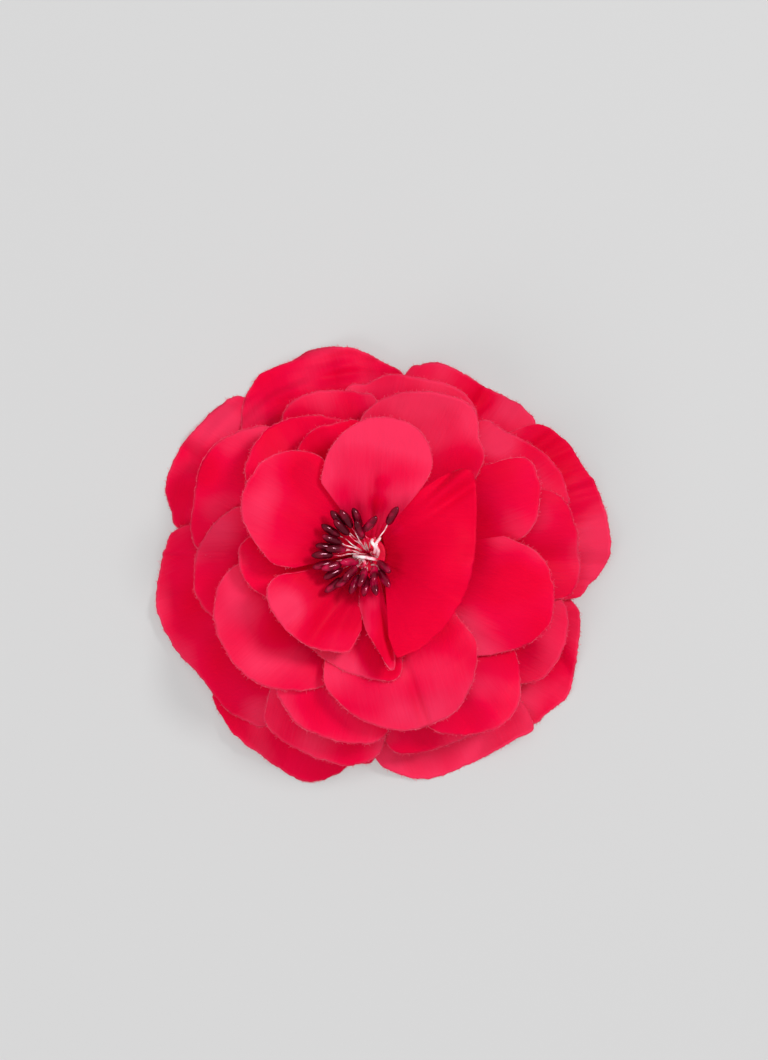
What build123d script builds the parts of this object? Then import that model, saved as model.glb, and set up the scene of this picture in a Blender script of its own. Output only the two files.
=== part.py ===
"""Flower hair clip: 33 fabric petals in five rings around a tuft of stamens, glued to a
stiff base disc with a felt backing, on a sprung alligator clip.

Units are millimetres. The flower lies face up on its clip: Z is up, Z = 0 is the surface
that it rests on, and the origin is under the middle of the flower's outline. Every piece is
made round the flower's axis, X = Y = 0, and moved to its place at the end. The clip runs
along X, with its nose towards -X.
"""

import os
from math import atan2, cos, pi, sin

from build123d import *

# The flower's axis, from the middle of its outline
AXIS_X, AXIS_Y = -3.1, 2.55

# Clip: two pressed steel strips on one pin, closed by a torsion spring
STEEL = 0.6                # sheet thickness
CLIP_HEIGHT = 9.0          # over both strips, closed
NOSE_X = -27.0             # outer face of both noses
TAIL_X = 20.0              # end of both levers
NOSE_BEND = 2.6            # outer radius of the bend at each nose
HINGE_X, HINGE_Z = 6.0, 4.5
UPPER_HALF_WIDTH = 4.7     # outside of the upper strip and its ears
LOWER_HALF_WIDTH = 3.9     # the lower strip runs between the upper ears
EAR_HALF_LENGTH = 3.0      # along X, where an ear meets its strip
EAR_ROUND = 1.8            # radius of an ear's end, round the pin
TAIL_ROUND = 2.4           # corners of the levers' ends
PIN_RADIUS = 0.75
PIN_HEAD_RADIUS, PIN_HEAD = 1.4, 0.5
PRESSED_HOLE = 0.78        # hole in the upper ears, which the pin heads clamp
RUNNING_HOLE = 0.80        # hole in the lower ears, which turn on the pin
TOOTH_PITCH, TOOTH_DEPTH, TOOTH_GAP = 2.6, 1.1, 0.2
NOSE_HALF_WIDTH = 3.9      # of both toothed noses
GRIP_HOLES_X, GRIP_HOLE_RADIUS = (-18.0, -12.0, -6.0), 1.0   # along the lower strip
CUT_PAST = 1.0             # how far a cutting shape reaches past what it cuts

# Spring
WIRE = 0.3                 # radius
COIL_RADIUS = 1.35         # to the wire's centre
TURNS, PITCH = 4, 0.64
LEG = 8.0                  # length of each leg along X
LEG_CLEARANCE = 0.06

# Backing
FELT_RADIUS, FELT = 21.0, 1.2
BASE_RADIUS, BASE = 15.0, 0.8
CORE_RADIUS = 4.5          # hot glue round the stamens' stem
CORE_TOP_LEVEL = 14        # of the petal stack, where the glue ends
CORE_ROUND = 0.8           # radius round its upper edge
STEM_RADIUS = 1.7

# Petals: a stack of levels, one petal thick, and a profile for each ring
SATIN = 0.35               # thickness of a stiffened petal, measured upwards
LEVEL = 0.75               # from one level of the stack to the next
LOWEST_LEVEL = CLIP_HEIGHT + FELT + BASE + 0.2
PETAL_BASE = 2.0           # half width at a petal's root
PETAL_ROOT = 2.7           # radius of the root, which the core hides
FLOWER_ABOVE = 60.0        # higher than the whole flower

# ring: its rise above the core's edge at some radii. The outer ring's rim rests level.
RISES = {
    "outer": [(20, 0.4), (36, -1.8), (48, -7.0), (57, -10.4), (66, -11.0)],
    "second": [(20, 1.3), (34, 1.6), (46, 0.0), (58.5, -2.6)],
    "third": [(18, 2.6), (30, 4.7), (40, 5.2), (57, 4.2)],
    "fourth": [(15, 3.6), (26, 7.0), (36, 8.5), (48.5, 8.5)],
    "inner": [(12, 5.2), (20, 9.8), (30, 13.2), (38, 14.4)],
}

# ring: petals as (direction in degrees, reach, half width, round of the tip, level)
PETALS = {
    "outer": [
        (106, 57.5, 25, 20, 1), (58, 57.0, 21, 18, 0), (13, 64.5, 27, 21, 1),
        (-33, 65.5, 19, 17, 0), (-67, 62.5, 23, 18, 1), (-112, 64.0, 25, 20, 0),
        (204, 59.5, 29, 22, 1), (151, 59.5, 22, 19, 0),
    ],
    "second": [
        (75, 50.5, 20, 17, 2), (30, 54.5, 19, 16, 3), (2, 56.5, 18, 15, 4),
        (-29, 58.0, 18, 15, 2), (-64, 58.0, 20, 17, 3), (-103, 57.0, 18, 15, 2),
        (186, 47.5, 18, 15, 3), (153, 51.0, 21, 17, 2), (111, 45.8, 17, 14, 3),
    ],
    "third": [
        (64, 48.2, 20, 16, 7), (22, 49.5, 18, 16, 6), (-17, 51.0, 20, 17, 7),
        (-55, 56.5, 18, 15, 6), (-104, 50.3, 19, 16, 5), (-144, 46.0, 23, 18, 6),
        (127, 43.0, 19, 16, 5),
    ],
    "fourth": [
        (-74, 48.0, 21, 17, 8), (190, 34.3, 13, 11, 8), (108, 36.3, 14, 12, 8),
        (-100, 33.0, 14, 12, 9),
    ],
    "inner": [
        (82, 36.3, 16, 14, 13), (151, 37.3, 17, 14, 11), (-140, 29.8, 15, 12, 10),
        (-86, 29.5, 5.5, 5, 11), (-14, 31.0, 24, 16, 12),
    ],
}

# Stamens
STAMEN_BASE_Z = 22.2       # top of the stem
THREAD = 0.17              # radius of a stamen's thread
THREAD_SUNK = 1.0          # length of it that is cut off flat with the stem
INNER_FEET, OUTER_FEET = 0.75, 1.45     # radii of the two rings of threads' feet
PIP_LENGTH, PIP_RADIUS = 6.0, 1.1
MIDDLE_STAMENS = 9         # how many of the list stand in the inner ring

# where the middle of each pip is, from the flower's axis
STAMENS = [
    # the middle ones, which stand highest
    (-5.2, -2.0, 30.4), (-2.6, 6.6, 30.8), (0.1, 8.2, 32.0), (3.8, -3.2, 29.4),
    (-7.3, 7.2, 31.0), (-8.8, 1.5, 31.0), (-5.0, -4.9, 31.4), (-2.0, -5.9, 30.6),
    (1.2, -5.0, 31.4),
    # the outer ones, clockwise from the longest
    (6.1, 10.2, 33.0), (3.9, -6.3, 29.6), (1.4, -8.0, 29.8), (-1.2, -8.2, 29.0),
    (-3.9, -7.8, 29.6), (-6.9, -6.6, 30.2), (-9.6, -8.0, 29.4), (-9.6, -5.0, 29.2),
    (-9.9, -3.0, 31.0), (-12.2, -2.8, 29.4), (-12.4, -0.2, 30.8), (-11.4, 2.0, 29.2),
    (-9.8, 4.0, 30.2), (-10.2, 6.4, 29.6), (-8.3, 9.4, 30.0), (-6.2, 9.4, 31.4),
    (-3.4, 9.6, 29.2),
]


def level_z(level):
    """Underside of a level of the petal stack, where it meets the core."""
    return LOWEST_LEVEL + LEVEL * level


# --- clip -----------------------------------------------------------------------------

def tooth_edge(offset):
    """Zigzag across a nose, as (y, z) from one side to the other."""
    count = round(2 * NOSE_HALF_WIDTH / TOOTH_PITCH) * 2
    step = 2 * NOSE_HALF_WIDTH / count
    return [
        (-NOSE_HALF_WIDTH + i * step, HINGE_Z + offset + (TOOTH_DEPTH / 2) * (-1) ** i)
        for i in range(count + 1)
    ]


def corner_at(sketch, x, y):
    """The corner of a flat outline that is nearest to (x, y)."""
    return sketch.vertices().sort_by_distance(Vector(x, y))[0]


def strip(half_width, up):
    """One strip with its bent and toothed nose. up is +1 for the upper strip."""
    face_z = CLIP_HEIGHT if up > 0 else 0.0
    section = make_face(
        Polyline(
            (TAIL_X, face_z),
            (NOSE_X, face_z),
            (NOSE_X, HINGE_Z),
            (NOSE_X + STEEL, HINGE_Z),
            (NOSE_X + STEEL, face_z - up * STEEL),
            (TAIL_X, face_z - up * STEEL),
            close=True,
        )
    )
    section = fillet(corner_at(section, NOSE_X, face_z), NOSE_BEND)
    section = fillet(corner_at(section, NOSE_X + STEEL, face_z - up * STEEL), NOSE_BEND - STEEL)
    body = extrude(Plane.XZ * section, half_width, both=True)
    body = fillet(body.edges().filter_by(Axis.Z).group_by(Axis.X)[-1], TAIL_ROUND)
    # The nose reaches past the middle, and the zigzag cuts it back.
    nose = Pos(NOSE_X + STEEL / 2, 0, HINGE_Z - up * TOOTH_DEPTH / 4) * Box(
        STEEL, 2 * half_width, TOOTH_DEPTH / 2)
    edge = tooth_edge(up * TOOTH_GAP / 2)
    far = HINGE_Z - up * CLIP_HEIGHT / 2
    wide = half_width + CUT_PAST
    cutter = Plane.YZ * make_face(
        Polyline(*edge, (wide, edge[-1][1]), (wide, far), (-wide, far),
                 (-wide, edge[0][1]), close=True)
    )
    cutter = extrude(cutter, STEEL + 2 * CUT_PAST, dir=(1, 0, 0))
    sides = [
        Pos(NOSE_X + NOSE_BEND / 2, side * (NOSE_HALF_WIDTH + half_width) / 2, HINGE_Z)
        * Box(NOSE_BEND + 2 * STEEL, half_width - NOSE_HALF_WIDTH, 2 * CLIP_HEIGHT)
        for side in (-1, 1) if half_width > NOSE_HALF_WIDTH
    ]
    body = body + nose - Pos(NOSE_X - CUT_PAST, 0, 0) * cutter
    for side in sides:
        body -= side
    return body


def ear(outer_y, up, hole):
    """An ear from one strip to the pin, as a pair at +Y and -Y."""
    strip_z = CLIP_HEIGHT - STEEL if up > 0 else STEEL
    outline = make_hull(
        [
            *(Pos(HINGE_X, HINGE_Z) * Circle(EAR_ROUND)).edges(),
            Edge.make_line(
                (HINGE_X - EAR_HALF_LENGTH, strip_z, 0),
                (HINGE_X + EAR_HALF_LENGTH, strip_z, 0),
            ),
        ]
    ) - Pos(HINGE_X, HINGE_Z) * Circle(hole)
    one = extrude(Plane.XZ * outline, amount=STEEL)      # towards -Y
    return [Pos(0, y, 0) * one for y in (outer_y, -outer_y + STEEL)]


def clip_upper_jaw():
    body = strip(UPPER_HALF_WIDTH, +1)
    for one in ear(UPPER_HALF_WIDTH, +1, PRESSED_HOLE):
        body += one
    return body


def clip_lower_jaw():
    body = strip(LOWER_HALF_WIDTH, -1)
    for one in ear(LOWER_HALF_WIDTH, -1, RUNNING_HOLE):
        body += one
    for x in GRIP_HOLES_X:
        body -= Pos(x, 0, STEEL / 2) * Cylinder(GRIP_HOLE_RADIUS, STEEL + 2 * CUT_PAST)
    return body


def clip_pivot_pin():
    shank = 2 * UPPER_HALF_WIDTH
    head_y = UPPER_HALF_WIDTH + PIN_HEAD / 2
    across = Pos(HINGE_X, 0, HINGE_Z) * Rot(90, 0, 0)
    body = across * Cylinder(PIN_RADIUS, shank)
    for side in (-1, 1):
        body += Pos(0, side * head_y, 0) * across * Cylinder(PIN_HEAD_RADIUS, PIN_HEAD)
    return body


def clip_spring():
    """A coil on the pin with a leg under the upper lever and a leg over the lower one."""
    coil = Helix(PITCH, (TURNS - 0.5) * PITCH, COIL_RADIUS)
    coil = Rot(0, 0, 90) * coil                          # starts at local +Y
    start, end = coil @ 0, coil @ 1
    rise = HINGE_Z - STEEL - WIRE - LEG_CLEARANCE        # of each leg's end, from the pin
    spread = Vector(0, rise - COIL_RADIUS, 0)
    reach = Vector(LEG, 0, 0)
    body = sweep(Plane(origin=start, z_dir=coil % 0) * Circle(WIRE), path=coil)
    for knee, tip in ((start, start + reach + spread), (end, end + reach - spread)):
        leg = Plane(origin=knee, z_dir=tip - knee) * Circle(WIRE)
        body += extrude(leg, amount=(tip - knee).length)
        body += Pos(*knee) * Sphere(WIRE)
    middle = (start.Z + end.Z) / 2
    return Pos(HINGE_X, 0, HINGE_Z) * Rot(90, 0, 0) * Pos(0, 0, -middle) * body


# --- backing and core -----------------------------------------------------------------

def on_top_of(z, radius, height):
    """A disc or a post that stands on a height, round the flower's axis."""
    return Pos(0, 0, z + height / 2) * Cylinder(radius, height)


def felt_backing():
    return on_top_of(CLIP_HEIGHT, FELT_RADIUS, FELT)


def base_disc():
    return on_top_of(CLIP_HEIGHT + FELT, BASE_RADIUS, BASE)


def glue_core():
    bottom = CLIP_HEIGHT + FELT + BASE
    height = level_z(CORE_TOP_LEVEL) - bottom
    body = on_top_of(bottom, CORE_RADIUS, height)
    body = fillet(body.edges().sort_by(Axis.Z)[-1], CORE_ROUND)
    return body - on_top_of(bottom, STEM_RADIUS, height)


def stamen_stem():
    bottom = CLIP_HEIGHT + FELT + BASE
    return on_top_of(bottom, STEM_RADIUS, STAMEN_BASE_Z - bottom)


# --- stamens --------------------------------------------------------------------------

def stamen_feet():
    """Where each thread leaves the stem: an inner ring for the middle stamens, and an outer."""
    feet = []
    inner, outer = STAMENS[:MIDDLE_STAMENS], STAMENS[MIDDLE_STAMENS:]
    for rows, radius in ((inner, INNER_FEET), (outer, OUTER_FEET)):
        turns = sorted(atan2(y, x) for x, y, _ in rows)
        for x, y, _ in rows:
            turn = turns[0] + 2 * pi * turns.index(atan2(y, x)) / len(rows)
            feet.append(Vector(radius * cos(turn), radius * sin(turn), STAMEN_BASE_Z))
    return feet


def stamens():
    """All threads and all pips, as two lists of separate solids."""
    threads, pips = [], []
    # A round-ended rod, with a flat at each end as wide as its thread.
    pip = Cylinder(PIP_RADIUS, PIP_LENGTH)
    pip = fillet(pip.edges().filter_by(GeomType.CIRCLE), PIP_RADIUS - THREAD)
    for foot, place in zip(stamen_feet(), STAMENS):
        middle = Vector(*place)
        along = (middle - foot).normalized()
        sunk = foot - along * THREAD_SUNK
        thread = Plane(origin=sunk, z_dir=along) * Circle(THREAD)
        thread = extrude(thread, amount=(middle - sunk).length - PIP_LENGTH / 2)
        threads.append(split(thread, bisect_by=Plane.XY.offset(STAMEN_BASE_Z)))
        pips.append(Plane(origin=middle, z_dir=along) * pip)
    return threads, pips


# --- petals ---------------------------------------------------------------------------

def ring_shell(ring, level):
    """The whole ring of cloth that a ring's petals are cut from, at one level."""
    z = level_z(level)
    points = [(CORE_RADIUS, z)] + [(r, z + rise) for r, rise in RISES[ring]]
    with BuildSketch(Plane.XZ) as section:
        with BuildLine():
            under = Spline(*points)
            over = Spline(*[(r, height + SATIN) for r, height in points])
            Line(under @ 0, over @ 0)
            Line(under @ 1, over @ 1)
        make_face()
    return revolve(section.sketch, Axis.Z)


def petal_outline(direction, reach, half_width, tip):
    """Seen from above: a round tip that narrows in straight sides to the core."""
    middle = reach - tip
    outline = make_hull(
        [
            *(Pos(middle, 0) * Ellipse(tip, half_width)).edges(),
            Edge.make_line((PETAL_ROOT, -PETAL_BASE, 0), (PETAL_ROOT, PETAL_BASE, 0)),
        ]
    )
    return Rot(0, 0, direction) * outline


def petals():
    """Every petal, by name."""
    made = {}
    for ring, rows in PETALS.items():
        shells = {}
        for number, (direction, reach, half_width, tip, level) in enumerate(rows, 1):
            if level not in shells:
                shells[level] = ring_shell(ring, level)
            outline = petal_outline(direction, reach, half_width, tip)
            made[f"{ring}_petal_{number}"] = shells[level] & extrude(outline, FLOWER_ABOVE)
    return made


def main():
    threads, pips = stamens()
    nodes = {
        "clip_upper_jaw": clip_upper_jaw(),
        "clip_lower_jaw": clip_lower_jaw(),
        "clip_pivot_pin": clip_pivot_pin(),
        "clip_spring": clip_spring(),
        "felt_backing": felt_backing(),
        "base_disc": base_disc(),
        "glue_core": glue_core(),
        "stamen_stem": stamen_stem(),
        "stamen_threads": Compound(children=threads),
        "stamen_pips": Compound(children=pips),
        **petals(),
    }
    os.makedirs("parts", exist_ok=True)
    placed = {name: Pos(AXIS_X, AXIS_Y, 0) * shape for name, shape in nodes.items()}
    for name, shape in placed.items():
        export_step(shape, f"parts/{name}.step")
    return placed


if __name__ == "__main__":
    main()
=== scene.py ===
"""Flower hair clip, as it looks: satin petals with frayed edges, lacquered stamens, felt and a
nickel-plated clip.

Lengths are in millimetres, measured from the flower's axis, until metres() turns them into
the frame's own. Directions are in degrees, anticlockwise from +X, seen from above.
"""

import random
from math import atan2, cos, exp, hypot, pi, radians, sin, tau

import bpy
from mathutils import Matrix, Vector, noise


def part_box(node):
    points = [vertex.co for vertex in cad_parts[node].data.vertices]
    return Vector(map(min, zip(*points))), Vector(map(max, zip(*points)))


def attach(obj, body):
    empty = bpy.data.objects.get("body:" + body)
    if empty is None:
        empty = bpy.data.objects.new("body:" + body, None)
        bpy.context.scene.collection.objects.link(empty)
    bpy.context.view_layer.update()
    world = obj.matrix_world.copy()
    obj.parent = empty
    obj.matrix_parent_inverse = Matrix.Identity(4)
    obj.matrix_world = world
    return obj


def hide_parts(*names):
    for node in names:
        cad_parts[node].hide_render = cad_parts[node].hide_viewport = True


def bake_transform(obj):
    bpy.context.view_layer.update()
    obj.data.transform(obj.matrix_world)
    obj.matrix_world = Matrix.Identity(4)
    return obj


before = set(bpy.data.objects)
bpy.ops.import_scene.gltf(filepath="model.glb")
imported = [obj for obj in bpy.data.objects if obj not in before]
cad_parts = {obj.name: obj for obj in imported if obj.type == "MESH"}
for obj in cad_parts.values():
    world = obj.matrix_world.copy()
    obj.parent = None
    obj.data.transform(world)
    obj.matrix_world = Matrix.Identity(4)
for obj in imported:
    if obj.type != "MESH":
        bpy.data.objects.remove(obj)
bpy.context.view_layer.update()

MM = 0.001
core_low, core_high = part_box("glue_core")
AXIS = (core_low + core_high) / 2 / MM
CORE_RADIUS = (core_high.x - core_low.x) / 2 / MM

# --- the stack of petals, as the frame has it --------------------------------------------

LOWEST_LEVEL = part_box("base_disc")[1].z / MM + 0.2
LEVEL = 0.75
CLOTH = 0.2                # drawn thickness of the satin
BASE_HALF_WIDTH = 2.2      # of a petal, at the core
FRAYED_TONE = 0.4          # how much paler the cloth is along a cut edge
COLUMN, ROW = 0.65, 0.9    # size of a petal's mesh faces, across and along

# ring: its rise above the core's edge at some radii
RISES = {
    "outer": [(20, 0.4), (36, -1.8), (48, -7.0), (57, -10.2), (67, -10.6)],
    "second": [(20, 1.3), (34, 1.6), (46, 0.0), (58.5, -2.6)],
    "third": [(18, 2.6), (30, 4.7), (40, 5.2), (57, 4.2)],
    "fourth": [(15, 3.6), (26, 7.0), (36, 8.5), (48.5, 8.5)],
    "inner": [(12, 5.2), (20, 9.8), (30, 13.2), (38, 14.4)],
}

WAVE_SIZE = 21             # how far apart the waves in the cloth are
FLOOR_GAP = 0.15           # the lowest that a petal's middle surface hangs
RIM_CURL = 1.6             # height of the curls along a rim
CURL_START = 0.72          # share of the way to the rim where they start
WRINKLE = 0.35             # height of a rim's small wrinkles
GATHER = 0.9               # height of the gathers at a petal's foot
GATHER_OUT = 3             # how far from the core they are highest
GATHER_FADE = 8            # how far they fade over
CUT_WANDER = 0.35          # how far the scissors wandered from the rim
CUT_NICK = 0.22            # and how deep the small nicks are

# the satin's tone: random blotches over it, painted light that makes it paler at the rim than at
# the foot, and all a bit lower
BLOTCHES = 0.6
RIM_PAINTED_LIGHT = 0.5
TONE_LOWERED = 0.08

# Loose yarns on a cut edge, which run along it for some columns of the petal's mesh
YARN_RUN = (5, 26)         # the fewest and most columns of a yarn
YARN_GAP = (-1, 9)         # columns between two, less than 0 where they overlap
YARN_BOW = (-0.35, 0.15)   # how far a yarn bows out from the edge
YARN_ABOVE = (0.08, 0.15)  # how high it lies on the cloth
YARN_RADIUS = (0.035, 0.07)
NO_ENDS_BELOW = -0.2       # noise under which a stretch of edge has no ends sticking out
END_LEAN = 1.1             # the most that an end leans along the edge, in radians
END_LENGTH = (0.15, 1.0, 0.25)      # shortest, longest and most usual
END_RADIUS = (0.028, 0.048)

# ring: (height of its waves, the radii between which they grow, height of its fine veins)
WAVES = {
    "outer": (8.0, 16, 58, 0.30),
    "second": (6.5, 8, 54, 0.18),
    "third": (6.0, 6, 48, 0.14),
    "fourth": (5.4, 6, 42, 0.12),
    "inner": (4.2, 6, 34, 0.14),
}
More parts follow.
